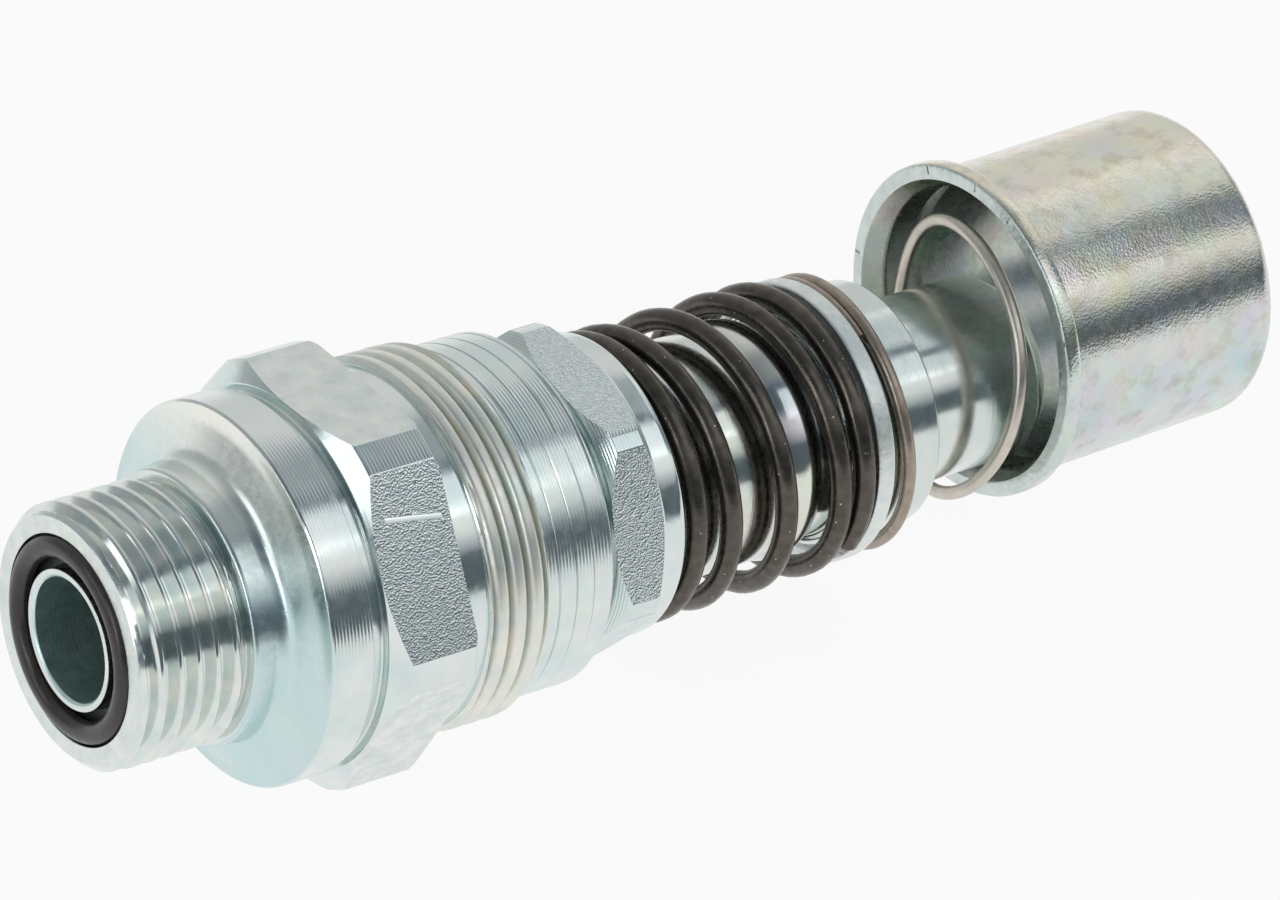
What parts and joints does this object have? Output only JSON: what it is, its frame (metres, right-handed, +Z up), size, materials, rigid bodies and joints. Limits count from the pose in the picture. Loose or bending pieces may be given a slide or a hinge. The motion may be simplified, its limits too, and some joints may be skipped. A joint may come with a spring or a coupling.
{
  "type": "hydraulic multi-coupler cartridge",
  "caption": "Straight steel hydraulic coupler cartridge: O-ring face-seal port, hexagon and threaded barrel, spring-loaded sliding nozzle with a flat poppet, and a loose front sleeve with its wire ring.",
  "frame": {"origin": "centre of the port's sealing face, on the cartridge's axis", "axes": "+X along the axis from the port towards the nozzle's tip, +Z up, one flat of the large hexagon facing down"},
  "size_m": [0.106, 0.0332, 0.0318],
  "materials": {
    "zinc_plated_steel": "bright zinc plate with clear blue passivation over turned steel",
    "polished_steel": "polished and plated turned steel",
    "iridescent_zinc": "drawn steel, zinc plate with faint rainbow passivation",
    "oiled_spring_steel": "dark brown-black oiled spring steel",
    "bronzed_spring_wire": "brown phosphated spring wire",
    "bare_spring_wire": "drawn spring wire, uncoated",
    "nitrile_rubber": "moulded nitrile, faintly dusty",
    "ptfe": "cut PTFE",
    "bronze": "turned bearing bronze",
    "polyurethane": "moulded polyurethane"
  },
  "bodies": {
    "cartridge": {"port_body": "zinc_plated_steel", "face_seal_ring": "nitrile_rubber", "guide_nut": "zinc_plated_steel", "nut_seal_ring": "nitrile_rubber", "nozzle_seal_ring": "nitrile_rubber", "nozzle_backup_ring": "ptfe", "nozzle_guide_ring": "bronze", "nozzle_wiper_ring": "polyurethane", "main_spring": "oiled_spring_steel"},
    "nozzle": {"nozzle_tube": "polished_steel", "nozzle_stop_ring": "bare_spring_wire", "spring_seat_washer": "zinc_plated_steel", "seat_snap_ring": "bronzed_spring_wire", "poppet_guide": "zinc_plated_steel", "guide_retaining_ring": "bare_spring_wire", "poppet_spring": "bare_spring_wire", "front_sleeve": "iridescent_zinc", "sleeve_snap_ring": "bare_spring_wire"},
    "poppet": {"poppet": "polished_steel", "poppet_seal_ring": "nitrile_rubber"}
  },
  "joints": [
    {"name": "nozzle_slide", "type": "slide", "parent": "cartridge", "child": "nozzle", "axis": [-1, 0, 0], "range_m": [0, 0.008], "stiffness_N_per_m": 4200, "springref_m": -0.007, "deforming": ["main_spring"]},
    {"name": "poppet_slide", "type": "slide", "parent": "nozzle", "child": "poppet", "axis": [-1, 0, 0], "range_m": [0, 0.005], "stiffness_N_per_m": 5500, "springref_m": -0.004, "deforming": ["poppet_spring"]}
  ]
}
